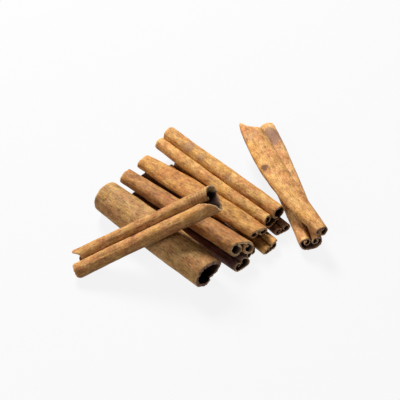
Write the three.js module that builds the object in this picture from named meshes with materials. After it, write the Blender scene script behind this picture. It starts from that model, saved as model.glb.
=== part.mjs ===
// A stack of cinnamon quills: sheets of dried bark, each curled up from both long edges into two rolls
// that meet along a seam.  A row of base quills and one wide tube lie on the ground, three quills lie
// on the base row, one leans over the wide tube, and a crossed pair lies at the right.
// Millimetres, +Z up.  The origin is on the ground under the middle of the stack's bounding box.
import * as THREE from 'three';

// ---- what every quill shares -------------------------------------------------------------------
const STACK_MIDDLE = [0.07, -4.71];  // ground point under the middle of the stack, in layout mm
const SEAM_GAP = 0.3;                // air left between the two rolls where they meet
const COLUMNS = 14;                  // strips of bark round one roll
const ROWS = 6;                      // stretches along a quill
const WALK_STEPS = 720;              // fine steps used to trace one roll
const DEG = Math.PI / 180;

const BARK = { tan: 0xc8965a, red: 0xb97846, ochre: 0xcf9f5e, brown: 0x9a6a3c };

// ---- the quills --------------------------------------------------------------------------------
// far, near   ground position of the two ends of the axis
// rest        height of the axis at the far and the near end
// bark        thickness of the sheet
// left, right bending radius of the sheet against the angle it has turned, from the back to the tip:
//             [degrees, mm], seen at the near end with the seam up
// seam        which way the seam faces, in degrees from up, towards the right
// wide, high  size of the section across and with its height, at the far end, the middle, the near end
// bow         how far the middle of the axis strays to the right and up
// slant       how much further the far and the near end stand out for each mm across to the right
// tornFar, tornNear  how far the end is broken back, [place on the sheet, mm]: -1 is the tip of the
//             left roll, 0 the back, 1 the tip of the right roll
const QUILLS = [
  {
    name: 'quill_wide', color: BARK.tan,
    far: [-47.6, -4.7], near: [4.6, -53.3], rest: [8.79, 9.29], bark: 2.0,
    left: [[0, 7.6], [166, 7.7], [174, 4], [190, 3]],
    right: [[0, 7.6], [166, 7.7], [174, 4], [190, 3]],
    seam: 164, wide: [0.94, 0.99, 0.93], high: [1.01, 1.03, 1.07], bow: [0.3, 0], slant: [0, -0.18],
    tornFar: [[-1, 0.4], [-0.4, 0], [0.2, 0.3], [1, 0]],
    tornNear: [[-1, 2.6], [-0.85, 2.4], [-0.6, 1.6], [-0.35, 0], [0, 0.4], [0.5, 0], [0.85, 0.6],
      [1, 1.6]],
  },
  {
    name: 'quill_cross', color: BARK.tan,
    far: [-60.4, -43.4], near: [6.6, -27.6], rest: [3.75, 34.60], bark: 1.0,
    left: [[0, 3.6], [270, 2.8], [420, 1.3]],
    right: [[0, 3.2], [270, 2.4], [420, 1.1]],
    seam: -15, wide: [1.06, 1.0, 1.04], high: [1.0, 1.0, 1.04], bow: [0, 0], slant: [0, 0],
    tornFar: [[-1, 1], [-0.3, 0], [0, 2], [0.12, 4], [0.26, 1.5], [0.4, 1.5], [0.55, 5], [1, 5.5]],
    tornNear: [[-1, 8], [-0.6, 7], [-0.52, 4.2], [-0.45, 1.5], [-0.38, 0.2],
      [-0.28, -0.5], [0, -1.5], [0.15, -1.8], [0.3, -1], [0.42, 1.5], [0.6, 2.6], [1, 3]],
  },
  {
    name: 'quill_top_left', color: BARK.red,
    far: [-38.8, 9.8], near: [21.0, -38.9], rest: [8.45, 9.48], bark: 1.2,
    left: [[0, 4.9], [30, 3.0], [80, 2.35], [200, 2.25], [360, 1.3]],
    right: [[0, 4.9], [30, 3.5], [80, 2.9], [300, 2.4], [340, 1.6]],
    seam: 203, wide: [0.74, 0.84, 0.88], high: [0.84, 0.98, 1.17], bow: [0, 0], slant: [-0.15, -0.55],
    tornFar: [[-1, 0], [0, 0.5], [1, 0]],
    tornNear: [[-1, 0.5], [-0.4, 0], [0, 0.8], [0.5, 0], [1, 0.5]],
  },
  {
    name: 'quill_top_middle', color: BARK.ochre,
    far: [-30.15, 18.6], near: [29.0, -29.2], rest: [9.35, 9.4], bark: 1.0,
    left: [[0, 5.5], [30, 3.4], [80, 2.4], [270, 2.0], [380, 1.0]],
    right: [[0, 4.6], [30, 2.9], [80, 2.1], [270, 1.85], [350, 1.0]],
    seam: 180, wide: [0.87, 1.16, 0.86], high: [0.9, 1.05, 0.98], bow: [0.45, 0], slant: [0, -0.4],
    tornFar: [[-1, 0], [0, 0.4], [1, 0.3]],
    tornNear: [[-1, 0.4], [-0.3, 0.6], [0, 0], [0.4, 0.5], [1, 0]],
  },
  {
    name: 'quill_top_right', color: BARK.ochre,
    far: [-19.05, 33.5], near: [36.6, -19.9], rest: [10.52, 9.7], bark: 1.0,
    left: [[0, 3.3], [270, 2.4], [430, 1.0]],
    right: [[0, 4.1], [270, 3.2], [360, 1.6]],
    seam: 0, wide: [1.03, 1.04, 1.0], high: [1.0, 1.0, 1.0], bow: [-0.35, 0], slant: [0, 0],
    tornFar: [[-1, 0.6], [-0.4, -0.3], [0, 0], [0.5, -1.2], [1, -0.6]],
    tornNear: [[-1, 1.5], [-0.5, 2], [0, 0], [0.4, 0.4], [0.7, 1.2], [1, 0.3]],
  },
  {
    name: 'quill_base_left', color: BARK.tan,
    far: [-32.7, 2.3], near: [20.9, -43.5], rest: [2.85, 2.8], bark: 0.9,
    left: [[0, 2.5], [200, 2.2], [360, 0.9]],
    right: [[0, 2.4], [200, 2.1], [360, 0.8]],
    seam: 0, wide: [0.98, 0.95, 0.9], high: [1.0, 1.0, 1.0], bow: [0, 0], slant: [0, 0.15],
    tornFar: [[-1, 0], [0, 0.5], [1, 0]],
    tornNear: [[-1, 1.5], [-0.5, 1.2], [-0.25, 0.6], [0, 0], [0.25, 0.3], [0.5, 2], [1, 2]],
  },
  {
    name: 'quill_base_inner', color: BARK.brown,
    far: [-28.4, 14.7], near: [25.2, -36.1], rest: [3.05, 2.95], bark: 0.8,
    left: [[0, 2.6], [200, 2.3], [350, 1.2]],
    right: [[0, 2.6], [200, 2.3], [350, 1.2]],
    seam: 180, wide: [1.0, 0.87, 0.56], high: [1.05, 1.05, 1.0], bow: [0, 0], slant: [0, 0],
    tornFar: [[-1, 0], [0, 0.5], [1, 0]],
    tornNear: [[-1, 0], [0, 0.4], [1, 0]],
  },
  {
    name: 'quill_base_middle', color: BARK.tan,
    far: [-14.2, 20.8], near: [35.4, -33.7], rest: [3.0, 2.96], bark: 1.0,
    left: [[0, 2.6], [200, 2.3], [355, 0.9]],
    right: [[0, 2.6], [200, 2.3], [355, 0.9]],
    seam: 0, wide: [1.0, 1.0, 0.95], high: [1.0, 1.0, 1.0], bow: [0, 0], slant: [0, 0],
    tornFar: [[-1, 0], [0, 0.5], [1, 0]],
    tornNear: [[-1, 1.5], [-0.5, 0.4], [-0.25, 0.8], [-0.1, 1.5], [0, 1.0], [0.12, 1.2], [0.25, 2.8],
      [0.42, 1.2], [0.6, 1.0], [1, 1.5]],
  },
  {
    name: 'quill_base_right', color: BARK.red,
    far: [-8.6, 32.4], near: [41.2, -21.7], rest: [2.66, 2.62], bark: 0.9,
    left: [[0, 2.3], [200, 1.9], [340, 0.95], [430, 0.6]],
    right: [[0, 2.3], [200, 2.0], [340, 0.9]],
    seam: 0, wide: [0.95, 0.95, 0.93], high: [1.0, 1.0, 1.0], bow: [0, 0], slant: [0, 0.2],
    tornFar: [[-1, 0], [0, 0.5], [1, 0]],
    tornNear: [[-1, 0.3], [0, 0], [1, 0.4]],
  },
  {
    name: 'quill_pair_lower', color: BARK.ochre,
    far: [32.7, 46.1], near: [54.4, -31.9], rest: [4.05, 4.51], bark: 1.0,
    left: [[0, 6], [40, 5], [90, 3.9], [200, 3.2], [270, 2.3], [420, 1.7], [540, 1.2]],
    right: [[0, 6], [40, 5], [90, 3.9], [200, 3.2], [270, 2.3], [420, 1.7], [540, 1.2]],
    seam: 0, wide: [1.12, 0.93, 0.75], high: [0.86, 0.92, 0.96], bow: [1.2, 0], slant: [0, 0],
    tornFar: [[-1, 8], [-0.15, 8], [-0.05, 6], [0.02, 0], [0.4, -1], [1, -0.5]],
    tornNear: [[-1, 0.3], [-0.35, 0.8], [-0.2, 1.2], [0, 0], [1, 0.3]],
  },
  {
    name: 'quill_pair_upper', color: BARK.tan,
    far: [25.65, 38.75], near: [57.94, -31.2], rest: [12.1, 12.75], bark: 1.0,
    left: [[0, 5.8], [30, 4.2], [80, 3.2], [200, 3.0], [270, 2.6], [400, 1.9]],
    right: [[0, 4.2], [30, 2.9], [80, 1.9], [200, 1.7], [270, 1.3], [380, 0.7]],
    seam: 180, wide: [0.97, 1.16, 0.6], high: [0.89, 0.93, 0.89], bow: [-3.2, 0], slant: [0.6, 0],
    tornFar: [[-1, 1], [-0.1, 0.4], [0.0, 0.8], [0.05, -0.8], [0.1, -2.0], [0.17, -1.7], [0.24, 0.6],
      [0.4, 3.5], [1, 3.5]],
    tornNear: [[-1, 0.2], [0, 0], [1, 0.2]],
  },
];

// ---- the bark sheet ----------------------------------------------------------------------------
// Straight lines between the stations of a list of [place, value].
function between(stations, place) {
  const last = stations.length - 1;
  for (let i = 0; i < last; i++) {
    const [p0, v0] = stations[i];
    const [p1, v1] = stations[i + 1];
    if (place <= p1) return v0 + ((v1 - v0) * (place - p0)) / (p1 - p0);
  }
  return stations[last][1];
}

// The smooth curve through a value at the far end, the middle and the near end, at t from 0 to 1.
function through([far, middle, near], t) {
  return far * (1 - t) * (1 - 2 * t) + middle * 4 * t * (1 - t) + near * t * (2 * t - 1);
}

// One roll of the sheet's middle line, from the back (heading 0, at y = 0) to its tip.  Each small
// turn d moves the line by radius * d along its heading, so the radii alone give the spiral.  The
// columns are spread by the square root of the radius, which gives every facet the same bulge.
function traceRoll(curl, bark) {
  const total = curl[curl.length - 1][0];
  const turn = (total / WALK_STEPS) * DEG;
  const walk = [];
  let x = 0, y = 0, weight = 0;
  for (let i = 0; i <= WALK_STEPS; i++) {
    const angle = (total * i) / WALK_STEPS;
    walk.push({ x, y, heading: angle * DEG, weight });
    const halfway = angle + total / WALK_STEPS / 2;
    const radius = between(curl, halfway);
    x += radius * Math.cos(halfway * DEG) * turn;
    y += radius * Math.sin(halfway * DEG) * turn;
    weight += Math.sqrt(radius) * turn;
  }
  // the roll moves aside until its outer face stands half the seam gap from the middle plane
  const reach = Math.min(...walk.map((p) => p.x + (Math.sin(p.heading) * bark) / 2));
  const shift = SEAM_GAP / 2 - reach;
  const full = walk[WALK_STEPS].weight;
  const columns = [];
  let at = 0;
  for (let k = 0; k <= COLUMNS; k++) {
    while (at < WALK_STEPS && walk[at].weight < (full * k) / COLUMNS - 1e-9) at++;
    const p = walk[at];
    columns.push({ x: p.x + shift, y: p.y, nx: Math.sin(p.heading), ny: -Math.cos(p.heading) });
  }
  return columns;
}

// The whole section: the left roll mirrored, from its tip to the back, then the right roll.  It is
// centred on its own height, so the axis runs through the middle of the quill.
function sheetSection(quill) {
  const right = traceRoll(quill.right, quill.bark);
  const left = traceRoll(quill.left, quill.bark).map((p) => ({ ...p, x: -p.x, nx: -p.nx })).reverse();
  const section = [...left, ...right];
  const top = Math.max(...section.map((p) => p.y + (p.ny * quill.bark) / 2));
  const middle = (top - quill.bark / 2) / 2;
  return section.map((p) => ({ ...p, y: p.y - middle }));
}

// A quill is the section carried along its axis, as an outer and an inner skin joined by the two
// long edges of the sheet and by its two ends.
function quillGeometry(quill) {
  const section = sheetSection(quill);
  const count = section.length;
  const far = new THREE.Vector3(...quill.far, quill.rest[0]);
  const near = new THREE.Vector3(...quill.near, quill.rest[1]);
  const length = far.distanceTo(near);
  const roll = quill.seam * DEG;
  const along = near.clone().sub(far).normalize();
  const side = new THREE.Vector3(0, 0, 1).cross(along).normalize();
  const up = new THREE.Vector3().crossVectors(along, side);
  const points = [];
  for (let row = 0; row <= ROWS; row++) {
    const t = row / ROWS;
    const wide = through(quill.wide, t);
    const high = through(quill.high, t);
    const arch = 4 * t * (1 - t);
    for (const face of [1, -1]) {
      section.forEach((p, column) => {
        const place = (2 * column + 1 - count) / (count - 1);
        const start = between(quill.tornFar, place) - quill.slant[0] * p.x;
        const stop = length - between(quill.tornNear, place) + quill.slant[1] * p.x;
        const x = wide * (p.x + (face * p.nx * quill.bark) / 2);
        const y = high * (p.y + (face * p.ny * quill.bark) / 2);
        const across = x * Math.cos(roll) + y * Math.sin(roll) + quill.bow[0] * arch;
        const height = -x * Math.sin(roll) + y * Math.cos(roll) + quill.bow[1] * arch;
        points.push(
          far.clone()
            .addScaledVector(along, start + (stop - start) * t)
            .addScaledVector(side, across)
            .addScaledVector(up, height),
        );
      });
    }
  }
  const at = (row, face, column) => (row * 2 + face) * count + column;
  const triangles = [];
  const quad = (a, b, c, d) => triangles.push(a, b, c, a, c, d);
  for (let row = 0; row < ROWS; row++) {
    for (let c = 0; c < count - 1; c++) {
      quad(at(row, 0, c), at(row, 0, c + 1), at(row + 1, 0, c + 1), at(row + 1, 0, c));
      quad(at(row, 1, c), at(row + 1, 1, c), at(row + 1, 1, c + 1), at(row, 1, c + 1));
    }
    const end = count - 1;
    quad(at(row, 0, 0), at(row + 1, 0, 0), at(row + 1, 1, 0), at(row, 1, 0));
    quad(at(row, 0, end), at(row, 1, end), at(row + 1, 1, end), at(row + 1, 0, end));
  }
  for (let c = 0; c < count - 1; c++) {
    quad(at(0, 0, c), at(0, 1, c), at(0, 1, c + 1), at(0, 0, c + 1));
    quad(at(ROWS, 0, c), at(ROWS, 0, c + 1), at(ROWS, 1, c + 1), at(ROWS, 1, c));
  }
  const geometry = new THREE.BufferGeometry().setFromPoints(points);
  geometry.setIndex(triangles);
  geometry.computeVertexNormals();
  return geometry;
}

const group = new THREE.Group();
group.position.set(-STACK_MIDDLE[0], -STACK_MIDDLE[1], 0);
for (const quill of QUILLS) {
  const material = new THREE.MeshStandardMaterial({ color: quill.color, roughness: 0.8, metalness: 0 });
  const mesh = new THREE.Mesh(quillGeometry(quill), material);
  mesh.name = quill.name;
  group.add(mesh);
}

export default group;
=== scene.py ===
# %% [markdown]
# # A stack of cinnamon sticks
# Cinnamon sticks are quills: flat sheets of bark peeled from a shoot, scraped and dried in the sun.
# As a sheet dries it curls from both long edges, so a quill ends up as two rolls side by side with a
# seam between them.  The imported model already says where every quill lies.  This script gives each
# one a finer sheet with the fibres, scars, stains and broken ends of real bark.

# %% Load the frame
import bpy
import numpy as np
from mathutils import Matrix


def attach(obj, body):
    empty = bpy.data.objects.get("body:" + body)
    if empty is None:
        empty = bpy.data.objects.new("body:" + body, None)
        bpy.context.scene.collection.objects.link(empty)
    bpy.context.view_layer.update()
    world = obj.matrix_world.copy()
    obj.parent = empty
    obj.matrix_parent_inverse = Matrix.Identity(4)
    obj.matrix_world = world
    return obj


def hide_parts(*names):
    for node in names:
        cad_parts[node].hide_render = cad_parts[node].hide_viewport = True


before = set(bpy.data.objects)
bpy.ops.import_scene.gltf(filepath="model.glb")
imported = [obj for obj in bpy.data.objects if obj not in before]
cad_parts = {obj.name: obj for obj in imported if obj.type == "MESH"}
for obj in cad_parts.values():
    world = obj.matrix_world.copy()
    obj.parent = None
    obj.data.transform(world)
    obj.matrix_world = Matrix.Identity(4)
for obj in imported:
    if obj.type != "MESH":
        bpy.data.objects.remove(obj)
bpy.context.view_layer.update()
MM = 0.001
print("nodes:", sorted(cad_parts))

# %% [markdown]
# ## The camera
# The stack is seen from well above, so the tops of the quills show and their near ends look dark.
# A long lens 45 cm away keeps the sticks nearly parallel.  The place that it looks at and its height
# angle are enough to set it up, so no tracking constraint is needed.

# %% Camera
from math import cos, sin, radians
from mathutils import Matrix, Vector

STACK_MIDDLE = np.array([0.07, -4.71, 0.0])   # mm: where the table of quills has the stack's middle
CAMERA_HEIGHT = radians(50)                   # above the table top
CAMERA_AWAY = 450                             # mm
LENS, SENSOR = 78.57, 36.0                    # mm
NEAREST_SEEN = 10                             # mm from the lens

target = Vector(-STACK_MIDDLE * MM)
lens = bpy.data.cameras.new("camera")
lens.lens = LENS
lens.sensor_width = SENSOR
lens.clip_start = NEAREST_SEEN * MM
camera = bpy.data.objects.new("camera", lens)
bpy.context.collection.objects.link(camera)
back = Vector((0, -cos(CAMERA_HEIGHT), sin(CAMERA_HEIGHT)))
tilt = Matrix.Rotation(radians(90) - CAMERA_HEIGHT, 4, "X")
camera.matrix_world = Matrix.Translation(target + back * CAMERA_AWAY * MM) @ tilt
bpy.context.scene.camera = camera
print("camera at", [round(v, 3) for v in camera.matrix_world.translation])

# %% [markdown]
# ## The wide tube and the leaning stick
# The table has the same numbers as the part's own source, so the finer sheets lie right on top of
# the imported ones.  All lengths are in mm, and every row says:
#
# - `slot`, `skin`, `edge`: the material slot, the finish of the bark, and how old its breaks are
# - `far`, `near`, `rest`: the two ends of the axis from above, and how high each of them lies
# - `bark`: how thick the sheet is; `gap`: the air between the two rolls, where it isn't the usual
# - `left`, `right`: how tightly each side is rolled, as a list of [degrees turned, bending radius],
#   which is how a curling sheet behaves, because it bends more and more towards its edge
# - `seam`: how far the seam is turned from facing straight up, in degrees
# - `wide`, `high`: how the section is stretched at the far end, in the middle and at the near end
# - `bow`, `slant`: how far the middle bends aside and up, and how askew the two ends are cut
# - `torn_far`, `torn_near`: [place, length torn off], where place -1 is the tip of the left roll, 0
#   the back and 1 the tip of the right roll
# - `marks`: kind of scar, place, how far along the quill from its far end (0 to 1), width, length
#   and strength
#
# The outside has four kinds of scar: a stain is a dark crust, a peel is a flake that came off, a knot
# is what a bud left, and ridges run round the quill, with painted shade between their crests.  The
# inside has two marks: torn is a pale patch, painted light on an inner wall that the key light
# doesn't reach, and the other is nearly black, painted shade in the slot of a broken end.
#
# The wide tube is old, thick bark with its two lips pressed together.  The stick that leans over it
# has lost bark at both ends, so the inside of its near end shows.

# %% Table: the wide tube and the leaning stick
QUILLS = {
    "quill_wide": dict(
        slot="bark_tan", skin="tube", edge="old", gap=0.0,
        far=(-47.6, -4.7), near=(4.6, -53.3), rest=(8.79, 9.29), bark=2.0,
        left=[[0, 7.6], [166, 7.7], [174, 4], [190, 3]],
        right=[[0, 7.6], [166, 7.7], [174, 4], [190, 3]],
        seam=164, wide=(0.94, 0.99, 0.93), high=(1.01, 1.03, 1.07), bow=(0.3, 0), slant=(0, -0.18),
        torn_far=[[-1, 0.4], [-0.4, 0], [0.2, 0.3], [1, 0]],
        torn_near=[[-1, 2.6], [-0.85, 2.4], [-0.6, 1.6], [-0.35, 0], [0, 0.4], [0.5, 0], [0.85, 0.6],
            [1, 1.6]],
        marks=[]),
    "quill_cross": dict(
        slot="bark_tan", skin="tan", edge="fresh",
        far=(-60.4, -43.4), near=(6.6, -27.6), rest=(3.75, 34.60), bark=1.0,
        left=[[0, 3.6], [270, 2.8], [420, 1.3]],
        right=[[0, 3.2], [270, 2.4], [420, 1.1]],
        seam=-15, wide=(1.06, 1.0, 1.04), high=(1.0, 1.0, 1.04), bow=(0, 0), slant=(0, 0),
        torn_far=[[-1, 1], [-0.3, 0], [0, 2], [0.12, 4], [0.26, 1.5], [0.4, 1.5], [0.55, 5], [1, 5.5]],
        torn_near=[[-1, 8], [-0.6, 7], [-0.52, 4.2], [-0.45, 1.5], [-0.38, 0.2], [-0.28, -0.5],
            [0, -1.5], [0.15, -1.8], [0.3, -1], [0.42, 1.5], [0.6, 2.6], [1, 3]],
        marks=[("knot", -0.6, 0.44, 2.2, 3.0, 1.0), ("ridges", 0.47, 0.92, 7, 14, 1.0),
               # the torn mark is painted light: it keeps a shaded inner wall pale
               ("stain", 0.6, 1.0, 6, 5, 0.4), ("torn", 0.31, 1.0, 9, 7, 1.0),
               # the last mark is painted shade, which keeps the slot of the near end nearly black
               ("painted_slot_shade", -0.12, 0.97, 8.4, 12, 1.0)]),
}
print("in the table:", list(QUILLS))

# %% [markdown]
# ## The three on top
# Thin bark rolls up tighter than thick bark.  Two of these lie with the seam down, so only the back
# of the sheet shows, and the right one has its seam up.  A cylinder would look wrong at the ends,
# where both rolls can be seen, so each one gets its own pair of curls.

# %% Table: the three on top
QUILLS.update({
    "quill_top_left": dict(
        slot="bark_red", skin="red", edge="fresh",
        far=(-38.8, 9.8), near=(21.0, -38.9), rest=(8.45, 9.48), bark=1.2,
        left=[[0, 4.9], [30, 3.0], [80, 2.35], [200, 2.25], [360, 1.3]],
        right=[[0, 4.9], [30, 3.5], [80, 2.9], [300, 2.4], [340, 1.6]],
        seam=203, wide=(0.74, 0.84, 0.88), high=(0.84, 0.98, 1.17), bow=(0, 0), slant=(-0.15, -0.55),
        torn_far=[[-1, 0], [0, 0.5], [1, 0]],
        torn_near=[[-1, 0.5], [-0.4, 0], [0, 0.8], [0.5, 0], [1, 0.5]],
        marks=[("peel", 0.03, 0.973, 3.0, 4.0, 1.0)]),
    "quill_top_middle": dict(
        slot="bark_ochre", skin="ochre", edge="fresh",
        far=(-30.15, 18.6), near=(29.0, -29.2), rest=(9.35, 9.4), bark=1.0,
        left=[[0, 5.5], [30, 3.4], [80, 2.4], [270, 2.0], [380, 1.0]],
        right=[[0, 4.6], [30, 2.9], [80, 2.1], [270, 1.85], [350, 1.0]],
        seam=180, wide=(0.87, 1.16, 0.86), high=(0.9, 1.05, 0.98), bow=(0.45, 0), slant=(0, -0.4),
        torn_far=[[-1, 0], [0, 0.4], [1, 0.3]],
        torn_near=[[-1, 0.4], [-0.3, 0.6], [0, 0], [0.4, 0.5], [1, 0]],
        marks=[]),
    "quill_top_right": dict(
        slot="bark_ochre", skin="yellow", edge="fresh",
        far=(-19.05, 33.5), near=(36.6, -19.9), rest=(10.52, 9.7), bark=1.0,
        left=[[0, 3.3], [270, 2.4], [430, 1.0]],
        right=[[0, 4.1], [270, 3.2], [360, 1.6]],
        seam=0, wide=(1.03, 1.04, 1.0), high=(1.0, 1.0, 1.0), bow=(-0.35, 0), slant=(0, 0),
        torn_far=[[-1, 0.6], [-0.4, -0.3], [0, 0], [0.5, -1.2], [1, -0.6]],
        torn_near=[[-1, 1.5], [-0.5, 2], [0, 0], [0.4, 0.4], [0.7, 1.2], [1, 0.3]],
        marks=[("stain", 0.6, 0.205, 6, 6, 0.6), ("stain", 0.65, 0.33, 6, 5, 0.55),
               ("stain", 0.66, 0.59, 4, 5, 0.4)]),
})
print("in the table:", len(QUILLS))

# %% [markdown]
# ## The base row
# Four thin quills carry the others.  Little more than their near ends and flanks can be seen, so
# their curls are simple, and what counts is that they are small and uneven.  The left one's
# purple-dark bark is painted shade, and the inner and right ones' brown is made darker as painted
# shade, because they lie in the shade under the others.

# %% Table: the base row
QUILLS.update({
    "quill_base_left": dict(
        # its purple-dark skin is painted shade
        slot="bark_tan", skin="dark_painted_shade", edge="fresh",
        far=(-32.7, 2.3), near=(20.9, -43.5), rest=(2.85, 2.8), bark=0.9,
        left=[[0, 2.5], [200, 2.2], [360, 0.9]],
        right=[[0, 2.4], [200, 2.1], [360, 0.8]],
        seam=0, wide=(0.98, 0.95, 0.9), high=(1.0, 1.0, 1.0), bow=(0, 0), slant=(0, 0.15),
        torn_far=[[-1, 0], [0, 0.5], [1, 0]],
        torn_near=[[-1, 1.5], [-0.5, 1.2], [-0.25, 0.6], [0, 0], [0.25, 0.3], [0.5, 2], [1, 2]],
        marks=[]),
    "quill_base_inner": dict(
        # its brown skin is made darker as painted shade
        slot="bark_brown", skin="shaded_brown", edge="fresh",
        far=(-28.4, 14.7), near=(25.2, -36.1), rest=(3.05, 2.95), bark=0.8,
        left=[[0, 2.6], [200, 2.3], [350, 1.2]],
        right=[[0, 2.6], [200, 2.3], [350, 1.2]],
        seam=180, wide=(1.0, 0.87, 0.56), high=(1.05, 1.05, 1.0), bow=(0, 0), slant=(0, 0),
        torn_far=[[-1, 0], [0, 0.5], [1, 0]],
        torn_near=[[-1, 0], [0, 0.4], [1, 0]],
        marks=[]),
    "quill_base_middle": dict(
        slot="bark_tan", skin="ochre", edge="fresh",
        far=(-14.2, 20.8), near=(35.4, -33.7), rest=(3.0, 2.96), bark=1.0,
        left=[[0, 2.6], [200, 2.3], [355, 0.9]],
        right=[[0, 2.6], [200, 2.3], [355, 0.9]],
        seam=0, wide=(1.0, 1.0, 0.95), high=(1.0, 1.0, 1.0), bow=(0, 0), slant=(0, 0),
        torn_far=[[-1, 0], [0, 0.5], [1, 0]],
        torn_near=[[-1, 1.5], [-0.5, 0.4], [-0.25, 0.8], [-0.1, 1.5], [0, 1.0], [0.12, 1.2],
            [0.25, 2.8], [0.42, 1.2], [0.6, 1.0], [1, 1.5]],
        marks=[]),
    "quill_base_right": dict(
        # its brown skin is made darker as painted shade
        slot="bark_red", skin="shaded_brown", edge="old",
        far=(-8.6, 32.4), near=(41.2, -21.7), rest=(2.66, 2.62), bark=0.9,
        left=[[0, 2.3], [200, 1.9], [340, 0.95], [430, 0.6]],
        right=[[0, 2.3], [200, 2.0], [340, 0.9]],
        seam=0, wide=(0.95, 0.95, 0.93), high=(1.0, 1.0, 1.0), bow=(0, 0), slant=(0, 0.2),
        torn_far=[[-1, 0], [0, 0.5], [1, 0]],
        torn_near=[[-1, 0.3], [0, 0], [1, 0.4]],
        marks=[]),
})
print("in the table:", len(QUILLS))

# %% [markdown]
# ## The crossed pair
# Two pale quills lie across one another at the right.  A straight tube of one width wouldn't do:
# both bend a little aside, and their rolls get narrower towards the near end, which is what `wide`
# is for.

# %% Table: the crossed pair
QUILLS.update({
    "quill_pair_lower": dict(
        slot="bark_ochre", skin="pale", edge="old",
        far=(32.7, 46.1), near=(54.4, -31.9), rest=(4.05, 4.51), bark=1.0,
        left=[[0, 6], [40, 5], [90, 3.9], [200, 3.2], [270, 2.3], [420, 1.7], [540, 1.2]],
        right=[[0, 6], [40, 5], [90, 3.9], [200, 3.2], [270, 2.3], [420, 1.7], [540, 1.2]],
        seam=0, wide=(1.12, 0.93, 0.75), high=(0.86, 0.92, 0.96), bow=(1.2, 0), slant=(0, 0),
        torn_far=[[-1, 8], [-0.15, 8], [-0.05, 6], [0.02, 0], [0.4, -1], [1, -0.5]],
        torn_near=[[-1, 0.3], [-0.35, 0.8], [-0.2, 1.2], [0, 0], [1, 0.3]],
        marks=[("stain", 0.46, 0.116, 8, 14, 1.0)]),
    "quill_pair_upper": dict(
        slot="bark_tan", skin="sand", edge="old",
        far=(25.65, 38.75), near=(57.94, -31.2), rest=(12.1, 12.75), bark=1.0,
        left=[[0, 5.8], [30, 4.2], [80, 3.2], [200, 3.0], [270, 2.6], [400, 1.9]],
        right=[[0, 4.2], [30, 2.9], [80, 1.9], [200, 1.7], [270, 1.3], [380, 0.7]],
        seam=180, wide=(0.97, 1.16, 0.6), high=(0.89, 0.93, 0.89), bow=(-3.2, 0), slant=(0.6, 0),
        torn_far=[[-1, 1], [-0.1, 0.4], [0.0, 0.8], [0.05, -0.8], [0.1, -2.0], [0.17, -1.7],
            [0.24, 0.6], [0.4, 3.5], [1, 3.5]],
        torn_near=[[-1, 0.2], [0, 0], [1, 0.2]],
        marks=[("knot", 0.10, 0.397, 2.6, 3.4, 1.0), ("stain", 0.0, 0.09, 9, 6, 0.35)]),
})
print("in the table:", len(QUILLS))

# %% [markdown]
# ## Rolling up a sheet
# A curled sheet could be drawn as a spiral by hand, but then its two sides would never match real
# bark.  Here the roll is walked instead.  Every small turn of the heading moves the line on by the
# bending radius times that turn, so the radii alone decide the spiral.  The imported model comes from
# the same walk.

# %% The section of a sheet
SEAM_GAP = 0.3      # mm of air between the two rolls, where the table has no gap of its own
WALK_STEPS = 1440   # fine steps in one roll
COLUMNS = 151       # points across a sheet


def running_sum(steps):
    """The sum of all steps so far, starting at 0."""
    return np.concatenate([[0], np.cumsum(steps)])


def walk_roll(curl, bark, gap):
    """One roll from the back of the sheet to its tip: x, y, heading and place at every step.
    x grows by radius * cos(heading) * turn and y by radius * sin(heading) * turn.  The roll is
    then moved aside until its outer face clears the middle plane by half the seam gap.  The place
    grows from 0 to 1 by the root of the radius, so tight turns near the tip take up less of it."""
    degrees, radii = np.array(curl, float).T
    turned = np.linspace(0, degrees[-1], WALK_STEPS + 1)
    halfway = (turned[1:] + turned[:-1]) / 2
    radius = np.interp(halfway, degrees, radii)
    step = radius * np.radians(degrees[-1] / WALK_STEPS)
    x = running_sum(step * np.cos(np.radians(halfway)))
    y = running_sum(step * np.sin(np.radians(halfway)))
    place = running_sum(np.sqrt(radius))
    heading = np.radians(turned)
    reach = (x + np.sin(heading) * bark / 2).min()
    return x + gap / 2 - reach, y, heading, place / place[-1]


def sheet_section(quill):
    """The sheet's middle line from the left tip to the right tip, at COLUMNS even distances along
    it: x, y, outward normal, place from -1 to 1 and distance across the sheet in mm.  The left
    roll is walked like a right one and mirrored.  The middle of the section's height is taken off
    y, so that it is centred on the quill's axis."""
    bark, gap = quill["bark"], quill.get("gap", SEAM_GAP)
    xl, yl, hl, pl = walk_roll(quill["left"], bark, gap)
    xr, yr, hr, pr = walk_roll(quill["right"], bark, gap)
    x = np.concatenate([-xl[::-1], xr])
    y = np.concatenate([yl[::-1], yr])
    nx = np.concatenate([-np.sin(hl[::-1]), np.sin(hr)])
    ny = np.concatenate([-np.cos(hl[::-1]), -np.cos(hr)])
    place = np.concatenate([-pl[::-1], pr])
    run = running_sum(np.hypot(np.diff(x), np.diff(y)))
    across = np.linspace(0, run[-1], COLUMNS)
    x, y, nx, ny, place = (np.interp(across, run, v) for v in (x, y, nx, ny, place))
    top = (y + ny * bark / 2).max()
    return x, y - (top - bark / 2) / 2, nx, ny, place, across


for name, quill in QUILLS.items():
    quill["section"] = sheet_section(quill)
    print(f"{name}: sheet {quill['section'][-1][-1]:.0f} mm wide before it curled")

# %% [markdown]
# ## Noise for bark
# Bark has long fibres, shallow dents and a slightly wandering outline.  All of them are smoothed
# random fields.  Random numbers on a coarse grid, with one number every few millimetres, are
# blended with a smooth curve, and stretching that grid along the quill turns dots into fibres.

# %% Smooth random fields
GRID_ALONG, GRID_ACROSS = 96, 320       # random numbers in one field
START_ALONG, START_ACROSS = 10.7, 100.3   # cells from the corner of the grid to that of the sheet


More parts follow.
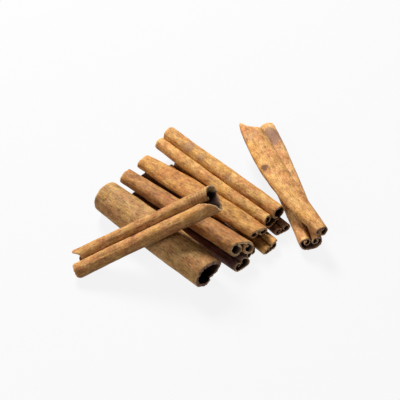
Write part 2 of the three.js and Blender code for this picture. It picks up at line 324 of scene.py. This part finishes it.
def field(across, along, cell, seed):
    """Smooth noise from -1 to 1 over the sheet.  Seeded random numbers sit on a grid of cells
    cell = (mm across, mm along); between them the value follows s*s*(3-2s) in both directions."""
    numbers = np.random.default_rng(seed).uniform(-1, 1, (GRID_ALONG, GRID_ACROSS))
    u = across / cell[0] + START_ACROSS
    v = along / cell[1] + START_ALONG
    i, j = np.floor(u).astype(int), np.floor(v).astype(int)
    s, t = u - i, v - j
    s, t = s * s * (3 - 2 * s), t * t * (3 - 2 * t)
    pick = lambda a, b: numbers[b % GRID_ALONG, a % GRID_ACROSS]
    return ((pick(i, j) * (1 - s) + pick(i + 1, j) * s) * (1 - t)
            + (pick(i, j + 1) * (1 - s) + pick(i + 1, j + 1) * s) * t)


def layered(across, along, layers, seed, start=0):
    """Fields added up, from coarse to fine, on top of start.  Each layer is (size, cell), where
    size is what its -1 to 1 is multiplied by, and has a seed of its own."""
    return sum((size * field(across, along, cell, seed + number)
                for number, (size, cell) in enumerate(layers)), start)


print("field sample:", np.round(field(np.arange(3.0), np.arange(3.0), (2, 2), 1), 2))

# %% [markdown]
# ## Scars
# A knot or a stain could be painted on with an image, but then it wouldn't follow the relief.  Here
# each scar is a strength from 0 to 1 at every point of the sheet.  The same numbers push the bark in
# or out and tell the material where to change its colour.

# %% Scars
SCAR_KINDS = ("stain", "peel", "knot", "ridges", "torn", "painted_slot_shade")
RAGGED = ((0.22, (1.3, 1.6)), (0.14, (0.5, 0.9)))   # noise in a scar's edge: size, cell in mm
SCAR_EDGE, SCAR_FADE = 1.15, 0.3   # where a scar has ended and how long it fades, in half sizes
PEEL_DEPTH = 0.14                  # mm, like the three below
STAIN_HEIGHT = 0.1
KNOT_DEPTH = 0.25
RIDGE_HEIGHT = 0.15
RIDGE_PITCH = 1.4                  # mm from one ridge to the next
RIDGE_WANDER = 2.0                 # radians that noise moves a ridge back and forth
RIDGE_CELL = (3, 5)


def spot(across, along, centre, size, seed):
    """A soft-edged scar: 1 inside, 0 outside.  The distance from the centre, in halves of its size,
    is pushed in and out by noise so that the edge is ragged."""
    away = np.hypot((across - centre[0]) * 2 / size[0], (along - centre[1]) * 2 / size[1])
    away = layered(across, along, RAGGED, seed, start=away)
    return np.clip((SCAR_EDGE - away) / SCAR_FADE, 0, 1)


def sheet_scars(quill, across, along, length, seed):
    """The strength of every kind of scar at each point.  Where two of a kind meet, the stronger
    one counts."""
    *_, place, columns = quill["section"]
    scars = {kind: np.zeros(across.shape) for kind in SCAR_KINDS}
    for number, (kind, where, share, wide, long, strength) in enumerate(quill["marks"]):
        centre = (np.interp(where, place, columns), share * length)
        scar = strength * spot(across, along, centre, (wide, long), seed + number)
        scars[kind] = np.maximum(scars[kind], scar)
    return scars


def scar_relief(scars, across, along, seed):
    """How far the scars move the outer skin, in mm: peels and knots in, stains out, and ridges by a
    wave along the quill.  Gives back that wave too, for painted shade laid between the crests."""
    wander = RIDGE_WANDER * field(across, along, RIDGE_CELL, seed)
    waves = np.sin(2 * np.pi * along / RIDGE_PITCH + wander)
    relief = (STAIN_HEIGHT * scars["stain"] - PEEL_DEPTH * scars["peel"]
              - KNOT_DEPTH * scars["knot"] ** 2 + RIDGE_HEIGHT * scars["ridges"] * waves)
    return relief, waves


print("scars in the table:", sum(len(quill["marks"]) for quill in QUILLS.values()))

# %% [markdown]
# ## Broken ends and relief
# Dry bark snaps, so no end is clean: pieces are missing and the rim is jagged.  Cutting the ends
# with a boolean would leave them sharp and equal on both faces.  Here each column of the sheet starts
# and stops at its own distance, and the two skins differ a little, which makes the rim splintery.

# %% Broken ends and relief
SEEDS = {"far": 0, "near": 9, "relief": 20, "scars": 30, "ridges": 40}   # added to a quill's seed
JAG_DEPTH = 0.22                            # mm, in bark 1 mm thick
FAR_JAGS = ((0.6, 0.9), (0.36, 0.35))       # share of that depth, and width in mm: coarse, fine
NEAR_JAGS = ((1.0, 1.0), (0.6, 0.35))
LUMPS = ((0.16, (5, 14)), (0.10, (2.2, 5)))          # size in mm, cell in mm
FIBRES = ((0.05, (0.8, 12)), (0.035, (0.45, 4)))
FIBRES_IN_BOTH = 0.6                        # share of the fibres that thicken the sheet as lumps do
END_TURN = {1: 0.18, -1: 0.072}             # how far each skin turns in at its ends, in thicknesses
END_REACH = 0.35                            # mm from the end where that has mostly gone


def jags(across, widths, face, seed):
    """Splinters of a broken end: coarse ones that both skins share, fine ones that differ."""
    (coarse, coarse_width), (fine, fine_width) = widths
    return (coarse * field(across, 0 * across, (coarse_width, 1), seed)
            + fine * field(across, 0 * across, (fine_width, 1), seed + face))


def broken_ends(quill, length, face, seed):
    """Where each column starts and stops, in mm from the far end of the axis: what the table says
    is torn off, how askew the end is cut, and the jags, which grow with the root of thickness."""
    x, _, _, _, place, across = quill["section"]
    torn = lambda end: np.interp(place, *np.array(quill[end], float).T)
    jag = JAG_DEPTH * quill["bark"] ** 0.5
    start = torn("torn_far") - quill["slant"][0] * x
    start = start + jag * jags(across, FAR_JAGS, face, seed + SEEDS["far"])
    stop = length - torn("torn_near") + quill["slant"][1] * x
    stop = stop + jag * jags(across, NEAR_JAGS, face, seed + SEEDS["near"])
    return start, stop


def skin_relief(across, along, end, bark, face, seed):
    """How far a skin is moved along the outward normal, in mm.  Lumps and some of the fibres make
    the sheet thicker and thinner, the outer skin has all the fibres on top of that, and near its
    ends the sheet turns in by a share of its thickness that fades as exp(-distance / reach)."""
    lumps = layered(across, along, LUMPS, seed)
    fibres = layered(across, along, FIBRES, seed + len(LUMPS))
    relief = face * (lumps + FIBRES_IN_BOTH * fibres) + fibres * (face == 1)
    return relief - END_TURN[face] * bark * np.exp(-end / END_REACH)


print("lumps of", [size for size, cell in LUMPS], "mm and fibres of", [size for size, cell in FIBRES])

# %% [markdown]
# ## A sheet of bark as a mesh
# One closed mesh makes a quill: an outer skin, an inner skin, and thin strips along the long edges
# and round both ends.  A thickened plane would be quicker, but a real sheet is uneven in
# thickness, and its ends are broken, so the two skins get relief and ends of their own.

# %% The two skins
UP = np.array([0.0, 0.0, 1.0])
ROWS = 150          # points along a quill
CROWDING = 0.25     # how much closer the rows lie towards both ends
LOWEST = 0.01       # mm above the ground, for relief that would dip under it


def through(values, t):
    """The smooth curve through a value at the far end, the middle and the near end."""
    far, middle, near = values
    return far * (1 - t) * (1 - 2 * t) + middle * 4 * t * (1 - t) + near * t * (2 * t - 1)


def row_places():
    """Places from 0 to 1 along the quill: even steps mixed with half a cosine wave, which is flat at
    both ends and so brings the rows closer together there."""
    s = np.linspace(0, 1, ROWS)
    return (1 - CROWDING) * s + CROWDING * (0.5 - 0.5 * np.cos(np.pi * s))


def axis_frame(quill):
    """The far end of the axis, its length, and three directions: along it, to its side and up."""
    far = np.array([*quill["far"], quill["rest"][0]])
    near = np.array([*quill["near"], quill["rest"][1]])
    length = np.linalg.norm(near - far)
    along = (near - far) / length
    side = np.cross(UP, along)
    side /= np.linalg.norm(side)
    return far, length, along, side, np.cross(along, side)


def skin_points(quill, face, seed):
    """One skin as arrays of rows x columns: its points in mm, where they are on the flat sheet, how
    far they are from a broken end, and their scars.  face is 1 for the outer skin and -1 for the
    inner one.  Each point is far + along * distance + side * cross + up * height, where cross
    and height are the section moved half the bark's thickness out or in, plus relief, then
    stretched, turned by the seam's angle and bowed."""
    x, y, nx, ny, _, columns = quill["section"]
    far, length, along, side, up = axis_frame(quill)
    t = row_places()[:, None]
    start, stop = broken_ends(quill, length, face, seed)
    distance = start + (stop - start) * t
    end = np.minimum(distance - start, stop - distance)
    across = np.broadcast_to(columns, distance.shape)
    relief = skin_relief(across, distance, end, quill["bark"], face, seed + SEEDS["relief"])
    scars = sheet_scars(quill, across, distance, length, seed + SEEDS["scars"])
    if face == 1:
        scar_height, waves = scar_relief(scars, across, distance, seed + SEEDS["ridges"])
        relief = relief + scar_height
        # painted shade: the ridges' dark colour is kept only between their crests
        scars["ridges"] = scars["ridges"] * (0.5 - 0.5 * waves)

    offset = face * quill["bark"] / 2 + relief
    px = through(quill["wide"], t) * (x + nx * offset)
    py = through(quill["high"], t) * (y + ny * offset)
    roll = np.radians(quill["seam"])
    arch = 4 * t * (1 - t)
    cross = px * np.cos(roll) + py * np.sin(roll) + quill["bow"][0] * arch
    height = -px * np.sin(roll) + py * np.cos(roll) + quill["bow"][1] * arch
    points = far + along * distance[..., None] + side * cross[..., None] + up * height[..., None]
    points -= STACK_MIDDLE
    points[..., 2] = np.maximum(points[..., 2], LOWEST)
    return dict(points=points, across=across, along=distance, end=end, **scars)


print("the first rows are at", np.round(row_places()[:4], 4))

# %% [markdown]
# Both skins have the same rows and columns, so the faces can be numbered once for all quills.  A row
# of the outer skin is followed by the same row of the inner skin.  The strips join the two skins
# where the sheet ends, and every face turns its front outwards.

# %% The faces


def sheet_faces(rows, columns):
    """Corner numbers of the outer skin, the inner skin, and the strips that close the sheet."""
    at = lambda row, skin, column: (row * 2 + skin) * columns + column
    r, c = np.meshgrid(np.arange(rows - 1), np.arange(columns - 1), indexing="ij")
    outer = np.stack([at(r, 0, c), at(r, 0, c + 1), at(r + 1, 0, c + 1), at(r + 1, 0, c)], -1)
    inner = np.stack([at(r, 1, c), at(r + 1, 1, c), at(r + 1, 1, c + 1), at(r, 1, c + 1)], -1)
    r, c, last, end = np.arange(rows - 1), np.arange(columns - 1), rows - 1, columns - 1
    strips = np.concatenate([
        np.stack([at(r, 0, 0), at(r + 1, 0, 0), at(r + 1, 1, 0), at(r, 1, 0)], -1),
        np.stack([at(r, 0, end), at(r, 1, end), at(r + 1, 1, end), at(r + 1, 0, end)], -1),
        np.stack([at(0, 0, c), at(0, 1, c), at(0, 1, c + 1), at(0, 0, c + 1)], -1),
        np.stack([at(last, 0, c), at(last, 0, c + 1), at(last, 1, c + 1), at(last, 1, c)], -1)])
    return outer.reshape(-1, 4), inner.reshape(-1, 4), strips


FACES = sheet_faces(ROWS, COLUMNS)
print("faces in one quill:", sum(len(part) for part in FACES))

# %% [markdown]
# ## Materials
# Dried cassia bark is matt and finely mottled.  Its outside is warm tan, because the cork was
# scraped off and left darker islands and short fibres.  Its inside is dark and reddish, because that
# is where the oil is, and here it is made nearly purple-black as painted shade of the deep insides of
# the rolls.  A fresh break is pale and splintery, and is made paler still as painted light on rims
# that face away from the key light.  All of them read `sheet`, an attribute that holds the distance
# across and along the flat sheet in metres, so the grain follows every curl.

# %% Colour and node helpers


def linear(hex_colour):
    """An sRGB hex colour as linear red, green, blue and alpha."""
    value = np.array([int(hex_colour[i:i + 2], 16) for i in (1, 3, 5)]) / 255
    value = np.where(value <= 0.04045, value / 12.92, ((value + 0.055) / 1.055) ** 2.4)
    return (*value, 1.0)


def node(tree, kind, inputs=None, out=0, stops=(), **settings):
    """Adds one node and gives back its output `out`.  inputs holds, for each input, the output of
    another node or a plain value; settings are the node's own properties; stops are the
    (place, hex colour) pairs of a colour ramp."""
    made = tree.nodes.new(kind)
    for key, value in settings.items():
        setattr(made, key, value)
    for key, value in (inputs or {}).items():
        if isinstance(value, bpy.types.NodeSocket):
            tree.links.new(value, made.inputs[key])
        else:
            made.inputs[key].default_value = value
    for number, (place, colour) in enumerate(stops):
        elements = made.color_ramp.elements
        stop = elements[number] if number < 2 else elements.new(place)
        stop.position, stop.color = place, linear(colour)
    return made.outputs[out] if made.outputs else made


def maths(tree, operation, *values):
    """One step of arithmetic on outputs or plain numbers."""
    return node(tree, "ShaderNodeMath", dict(enumerate(values)), operation=operation)


def ramp(tree, value, stops):
    """The colour that a value from 0 to 1 has between the stops."""
    return node(tree, "ShaderNodeValToRGB", {"Fac": value}, stops=stops)


def blend(tree, amount, colour, other, how="MIX"):
    """The colour, changed towards another one by the amount, or multiplied by it."""
    return node(tree, "ShaderNodeMix", {0: amount, 6: colour, 7: other}, out=2,
                data_type="RGBA", blend_type=how)


def new_material(name):
    """An empty node material, and the output of its `sheet` attribute."""
    material = bpy.data.materials.new(name)
    material.use_nodes = True
    material.node_tree.nodes.clear()
    sheet = node(material.node_tree, "ShaderNodeAttribute", out="Vector", attribute_name="sheet")
    return material, material.node_tree, sheet


def surface(tree, inputs):
    """The shader of a material and the output that it feeds."""
    shader = node(tree, "ShaderNodeBsdfPrincipled", inputs)
    node(tree, "ShaderNodeOutputMaterial", {"Surface": shader})


print("tan bark in linear light:", np.round(linear("#C8965A"), 3))

# %% [markdown]
# Two things return in every bark material.  Grain is noise that is stretched on the flat sheet, with
# sizes in millimetres.  A scar is a colour laid over the bark as far as its points carry that scar.

# %% Grain and scars in a material
BARK_IOR = 1.45     # index of refraction of dry bark


def grain(tree, sheet, across, along, detail=2.0, roughness=0.55, shift=0.0):
    """Noise on the flat sheet, with cells of the given size in mm across and along the quill."""
    scaled = node(tree, "ShaderNodeMapping", {"Vector": sheet, "Location": (shift, shift, shift),
                                              "Scale": (1 / (across * MM), 1 / (along * MM), 1)})
    return node(tree, "ShaderNodeTexNoise", {"Vector": scaled, "Scale": 1.0, "Detail": detail,
                                             "Roughness": roughness}, out="Fac")


def scarred(tree, colour, scars):
    """The colour with every scar (name, share that it covers, hex colour) laid over it in turn."""
    for scar, share, hex_colour in scars:
        carried = node(tree, "ShaderNodeAttribute", out="Fac", attribute_name=scar)
        amount = maths(tree, "MULTIPLY", carried, share)
        colour = blend(tree, amount, colour, linear(hex_colour))
    return colour


print("index of refraction:", BARK_IOR)

# %% [markdown]
# The outer face needs several sizes of grain at once.  Islands of 3 by 5 mm are what scraping left,
# fibres of 0.6 by 5 mm run along the quill, and grains of 0.5 by 1 mm give the sandy look.  Broad
# areas and small ones lean to red or to yellow.  Pores are short dark dashes, and the wide tube has
# the most.

# %% Bark
FIBRE = dict(across=0.6, along=5, detail=3)
ISLAND = dict(across=3, along=5, shift=3.1)
SAND = dict(across=0.5, along=1.0, roughness=0.7, shift=5.7)
DASH = dict(across=0.5, along=2.4, detail=1, roughness=0.5, shift=12.9)
FIBRE_SHARE, ISLAND_SHARE, SAND_SHARE = 0.30, 0.36, 0.34   # how much each grain counts
DEEP_AT, MID_AT, PALE_AT = 0.385, 0.5, 0.615               # sum of the grains where a shade sits
AREAS = ((6, 11, 0.6, 9.3), (1.6, 2.4, 0.5, 17.7))         # mm across, mm along, strength, shift
LEANINGS = ((0.38, "#F4D4C6"), (0.5, "#FFFFFF"), (0.62, "#FFF6CC"))
DASH_EDGES = ((0.60, "#000000"), (0.70, "#FFFFFF"))        # noise where a dash begins and is full
DASH_SHARE, DASH_HEIGHT, DASH_COLOUR = 0.3, -0.3, "#5A3A1E"
RELIEF_STRENGTH, RELIEF_DEPTH = 0.6, 0.6 * MM
SMOOTHEST, ROUGHEST, SHINE = 0.6, 0.9, 0.35
# ridges lay painted shade between their crests; worn lightens the skin by a broken end, partly as wear
# and partly as painted light
SCARS = (("stain", 0.75, "#7A5A50"), ("peel", 0.6, "#B87434"), ("knot", 0.85, "#57301E"),
         ("ridges", 0.6, "#6E4A2C"), ("worn_and_lit", 0.45, "#D0A878"))


def bark(name, pale, mid, deep, pores=0.1):
    """Scraped, sun-dried cassia bark, outer face: matt, sandy, mottled from pale to deep.
    The shade is the weighted sum of the three grains, and pores adds to the strength of dashes."""
    material, tree, sheet = new_material(name)
    fibre = grain(tree, sheet, **FIBRE)
    island = grain(tree, sheet, **ISLAND)
    sand = grain(tree, sheet, **SAND)
    shade = maths(tree, "MULTIPLY", sand, SAND_SHARE)
    shade = maths(tree, "MULTIPLY_ADD", island, ISLAND_SHARE, shade)
    shade = maths(tree, "MULTIPLY_ADD", fibre, FIBRE_SHARE, shade)
    colour = ramp(tree, shade, [(DEEP_AT, deep), (MID_AT, mid), (PALE_AT, pale)])
    for across, along, strength, shift in AREAS:
        area = grain(tree, sheet, across, along, shift=shift)
        colour = blend(tree, strength, colour, ramp(tree, area, LEANINGS), "MULTIPLY")
    dash = ramp(tree, grain(tree, sheet, **DASH), DASH_EDGES)
    amount = maths(tree, "MULTIPLY", dash, DASH_SHARE + pores)
    colour = scarred(tree, blend(tree, amount, colour, linear(DASH_COLOUR)), SCARS)
    height = maths(tree, "MULTIPLY_ADD", dash, DASH_HEIGHT, shade)
    bump = node(tree, "ShaderNodeBump", {
        "Height": height, "Strength": RELIEF_STRENGTH, "Distance": RELIEF_DEPTH})
    rough = node(tree, "ShaderNodeMapRange", {
        "Value": sand, "To Min": SMOOTHEST, "To Max": ROUGHEST})
    surface(tree, {"Base Color": colour, "Roughness": rough, "Normal": bump, "IOR": BARK_IOR,
                   "Specular IOR Level": SHINE})
    return material


SKINS = {
    "tan": bark("cassia_bark_tan", "#C29C64", "#A87B49", "#7F5831"),
    "sand": bark("cassia_bark_sandy", "#D6AE76", "#BC8D55", "#8E6238"),
    "pale": bark("cassia_bark_pale", "#E6C08A", "#CC9E68", "#A0744A"),
    "tube": bark("cassia_bark_porous", "#BC9966", "#A07C4D", "#785836", pores=0.45),
    "red": bark("cassia_bark_reddish", "#B4854F", "#966A3D", "#6A4426"),
    "ochre": bark("cassia_bark_ochre", "#C99C5C", "#AC7D42", "#7F5526"),
    "yellow": bark("cassia_bark_golden", "#D6AC70", "#BA8E52", "#8A6032"),
    # partly painted shade: brown bark made darker for base quills that lie in the shade under the
    # stack
    "shaded_brown": bark("cassia_bark_shaded_brown", "#8C6544", "#6E4A32", "#4A3022"),
    # painted shade: purple-dark bark for the base quill in the deep shade beside the wide tube
    "dark_painted_shade": bark("cassia_bark_painted_shade", "#86605A", "#684A4C", "#48343A"),
}
print("bark finishes:", list(SKINS))

# %% [markdown]
# The inner face was against the wood.  It is smooth and reddish, with long straight streaks, and its
# near-black purple is painted shade of the deep insides of the rolls.  Near a broken end it is
# lighter, partly as wear and partly as painted light, and where one stick was torn it is pale:
# painted light on a wall that the key light doesn't reach.  In the slot of that stick's near end it
# is nearly black: painted shade.  The broken edge shows the layers of the bark end-on: pale
# splinters with dark lines between them, or greyer ones where the break is old.  The fresh ones are
# made paler still, as painted light on rims that face away from the key.

# %% Inner face and broken edge
STREAK = dict(detail=3, roughness=0.6, shift=2.2)
DEEP_STREAK_AT, PALE_STREAK_AT = 0.36, 0.62     # noise where each of the two shades sits
STREAK_DEPTH, STREAK_SHINE = 0.4 * MM, 0.1
INNER_CELL, BREAK_CELL = (0.6, 20), (0.45, 0.5)   # mm across, mm along
# painted light and shade on the inner face: the slot mark is nearly black painted shade, torn is
# painted light, and worn is partly wear, partly painted light
INNER_SCARS_LIGHT_AND_SHADE = (("painted_slot_shade", 1.0, "#100B0D"), ("torn", 0.9, "#F2CE9C"), ("worn_and_lit", 0.75, "#B4895E"))


def streaked(name, cell, pale, deep, roughness, relief, scars=()):
    """Bark with one size of grain: light on its ridges and dark in the hollows between them."""
    material, tree, sheet = new_material(name)
    streak = grain(tree, sheet, *cell, **STREAK)
    colour = ramp(tree, streak, [(DEEP_STREAK_AT, deep), (PALE_STREAK_AT, pale)])
    colour = scarred(tree, colour, scars)
    bump = node(tree, "ShaderNodeBump", {
        "Height": streak, "Strength": relief, "Distance": STREAK_DEPTH})
    surface(tree, {"Base Color": colour, "Roughness": roughness, "Normal": bump, "IOR": BARK_IOR,
                   "Specular IOR Level": STREAK_SHINE})
    return material


# painted shade: the inner face is made nearly purple-black, darker than the bark is, for the deep
# insides of the rolls
INSIDE_SHADED = streaked("cassia_inner_face_painted_shade", INNER_CELL, "#4A3432", "#251A1C",
                  roughness=0.7, relief=0.35, scars=INNER_SCARS_LIGHT_AND_SHADE)
EDGES = {
    # painted light: the fresh break is made paler, for rims that face away from the key
    "fresh": streaked("cassia_fresh_break_painted_light", BREAK_CELL, "#F0D0A6", "#AA8058", 0.85, 0.7),
    "old": streaked("cassia_weathered_break", BREAK_CELL, "#B8937C", "#70503F", 0.85, 0.7),
}
print("materials:", len(bpy.data.materials))

# %% [markdown]
# ## Laying the quills
# Each quill is built where it lies, so its object stays at the origin.  What its materials read is
# stored on its points: the place on the flat sheet, how near a broken end each point is, which
# lightens the bark there partly as wear and partly as painted light, and the scars.  Every quill,
# and every skin of it, reads another part of the noise.

# %% Build every quill
SEED_STEP = 100       # from one quill's seed to the next one's
# the lightening by a broken end is partly wear and partly painted light on rims that face away from
# the key
WORN_REACH = 0.5      # mm from a broken end where the wear has mostly gone
QUILL_APART = 0.05    # m on the sheet, times the seed, from one quill's noise to the next one's
SKIN_APART = 0.01     # m on the sheet from the outer skin's noise to the inner one's


def closed_mesh(name, points):
    """A mesh of one sheet.  Its outer skin, inner skin and strips get materials 0, 1 and 2.  Flat
    strips keep the rim crisp: a smooth face never shares its shading with a flat one."""
    faces = np.concatenate(FACES)
    parts = [len(part) for part in FACES]
    mesh = bpy.data.meshes.new(name)
    mesh.vertices.add(len(points))
    mesh.vertices.foreach_set("co", points.ravel())
    mesh.loops.add(faces.size)
    mesh.loops.foreach_set("vertex_index", faces.ravel())
    mesh.polygons.add(len(faces))
    mesh.polygons.foreach_set("loop_start", np.arange(0, faces.size, 4))
    mesh.polygons.foreach_set("material_index", np.repeat([0, 1, 2], parts))
    mesh.update(calc_edges=True)
    mesh.polygons.foreach_set("use_smooth", np.repeat([True, True, False], parts))
    return mesh


def store(mesh, name, values, kind="FLOAT", key="value"):
    """Stores the values on the points of the mesh, under the name that its materials read."""
    mesh.attributes.new(name, kind, "POINT").data.foreach_set(key, values.ravel())


def bark_sheet(name, quill, seed):
    """The closed mesh of one quill with its three materials and its attributes.  The rows of its
    two skins are woven together, outer row first, as the faces count them."""
    skins = [skin_points(quill, face, seed) for face in (1, -1)]
    woven = {key: np.stack([skin[key] for skin in skins], 1) for key in skins[0]}
    mesh = closed_mesh(name, woven["points"].reshape(-1, 3) * MM)
    layer = np.zeros(woven["end"].shape)
    layer[:, 1] = SKIN_APART
    sheet = np.stack([woven["across"] * MM + QUILL_APART * seed, woven["along"] * MM, layer], -1)
    store(mesh, "sheet", sheet, "FLOAT_VECTOR", "vector")
    # lighter by a broken end: partly wear, partly painted light on rims that face away from the key
    store(mesh, "worn_and_lit", np.exp(-woven["end"] / WORN_REACH))
    for kind in SCAR_KINDS:
        store(mesh, kind, woven[kind])
    for material in (SKINS[quill["skin"]], INSIDE_SHADED, EDGES[quill["edge"]]):
        mesh.materials.append(material)
    piece = bpy.data.objects.new(name, mesh)
    bpy.context.collection.objects.link(piece)
    return piece


for number, (name, quill) in enumerate(QUILLS.items()):
    piece = bark_sheet(name.replace("quill", "bark"), quill, SEED_STEP * (number + 1))
    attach(piece, "root")
    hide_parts(name)
    print(piece.name, "has", 2 * len(piece.data.polygons), "triangles")

# %% [markdown]
# ## Floor
# The stack lies on a light table, so it hardly casts a shadow, while the gaps between the quills
# still go dark.  One sheet can't do both, so two share that work.  The one that is seen glows, and
# throws no light on the bark.  A hidden sheet of white paper just under it is lit like any real
# surface and lights the flanks from below.

# %% Floor
FLOOR_SIZE = 4      # m
GLOW_COLOUR = (0.99, 0.99, 1.0, 1)


def floor(name, depth, shade, glow):
    """A wide flat sheet, depth mm under the stack: how pale it is and how much it glows, both
    linear."""
    bpy.ops.mesh.primitive_plane_add(size=FLOOR_SIZE, location=(0, 0, -depth * MM))
    sheet = bpy.context.object
    sheet.name = name
    paper = bpy.data.materials.new(name)
    paper.use_nodes = True
    paper.node_tree.nodes.clear()
    surface(paper.node_tree, {
        "Base Color": (shade, shade, shade, 1), "Roughness": 1.0, "Specular IOR Level": 0.0,
        "Emission Color": GLOW_COLOUR, "Emission Strength": glow})
    sheet.data.materials.append(paper)
    return sheet


seen_sheet = floor("light_table", depth=0.0, shade=0.05, glow=0.88)
seen_sheet.visible_diffuse = False
seen_sheet.visible_glossy = False
bounce_sheet = floor("white_paper", depth=0.2, shade=0.5, glow=0.6)
bounce_sheet.visible_camera = False
print("floor laid:", seen_sheet.name, "on", bounce_sheet.name)

# %% [markdown]
# ## Light
# The key light stands behind and a little left, halfway up, so the tops are bright and the near ends
# fall into shade.  A weak fill at the front left opens those shadows.  Both are square area lights,
# because their size decides how soft a shadow's edge is.

# %% Lights
LIGHT_AWAY = 1.0            # m from the stack
DAYLIGHT = (0.92, 0.96, 1.0, 1)
DAYLIGHT_STRENGTH = 0.03


def soft_light(name, towards, size, power, colour):
    """A square area light in direction `towards` from the stack, facing it: size in m, power in W."""
    data = bpy.data.lights.new(name, "AREA")
    data.size = size
    data.energy = power
    data.color = colour
    lamp = bpy.data.objects.new(name, data)
    bpy.context.collection.objects.link(lamp)
    direction = Vector(towards).normalized()
    facing = direction.to_track_quat("Z", "Y").to_matrix().to_4x4()
    lamp.matrix_world = Matrix.Translation(target + direction * LIGHT_AWAY) @ facing


soft_light("key", (-0.24, 0.66, 0.71), size=0.28, power=20.5, colour=(1.0, 0.995, 0.97))
soft_light("fill", (-0.67, -0.47, 0.57), size=0.5, power=4.8, colour=(1.0, 0.97, 0.94))
world = bpy.data.worlds.new("studio")
bpy.context.scene.world = world
world.use_nodes = True
sky = world.node_tree.nodes["Background"]
sky.inputs["Color"].default_value = DAYLIGHT
sky.inputs["Strength"].default_value = DAYLIGHT_STRENGTH
bpy.context.scene.view_settings.view_transform = "Standard"
print("lights:", [light.name for light in bpy.data.lights])
